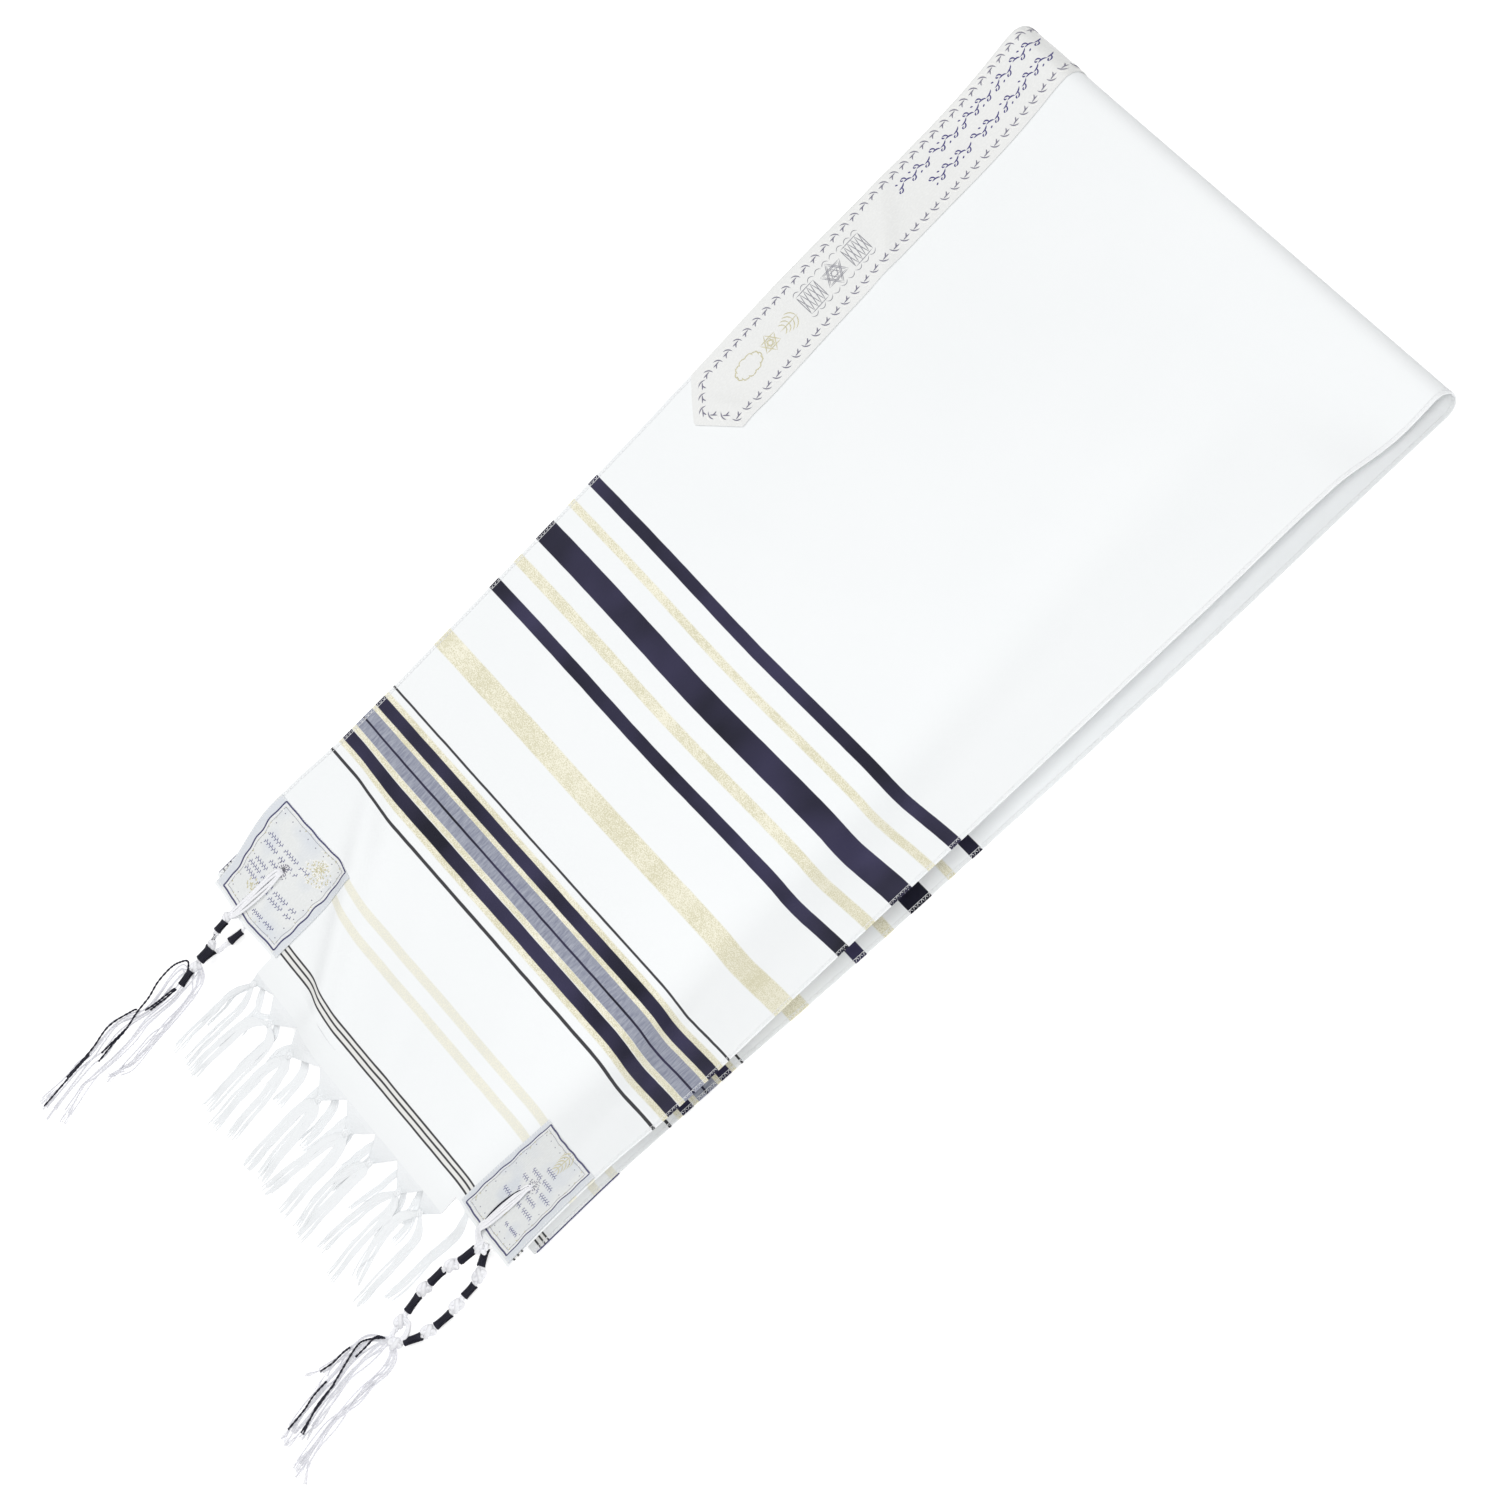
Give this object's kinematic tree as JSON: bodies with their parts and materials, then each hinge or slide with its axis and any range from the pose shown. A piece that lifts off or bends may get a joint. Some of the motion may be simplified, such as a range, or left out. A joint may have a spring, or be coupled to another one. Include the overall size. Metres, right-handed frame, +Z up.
{
  "type": "tallit prayer shawl",
  "caption": "White tallit shawl with navy and gold stripes, folded once across and laid flat, with a satin neckband, corner patches, knotted fringe and wound corner tassels.",
  "frame": {"origin": "centre of the whole part's box, at the surface that it lies on", "axes": "+X across the shawl towards the edge with no neckband, +Y along the shawl towards its fold, +Z up"},
  "size_m": [0.4684, 1.125, 0.0685],
  "materials": {
    "cloth_white": "plain-woven white cloth with satin and metallic stripes",
    "band_satin": "pearl white satin",
    "patch_satin": "pale satin with embroidery",
    "fringe_white": "loose soft yarn",
    "tzitzit_cord": "spun cord, white with navy windings"
  },
  "bodies": {
    "root": {"cloth": "cloth_white", "neckband": "band_satin", "patch_upper_left": "patch_satin", "patch_upper_right": "patch_satin", "patch_lower_left": "patch_satin", "patch_lower_right": "patch_satin", "fringe_upper": "fringe_white", "fringe_lower": "fringe_white", "tzitzit_upper_left": "tzitzit_cord", "tzitzit_upper_right": "tzitzit_cord", "tzitzit_lower_left": "tzitzit_cord", "tzitzit_lower_right": "tzitzit_cord"}
  },
  "joints": []
}
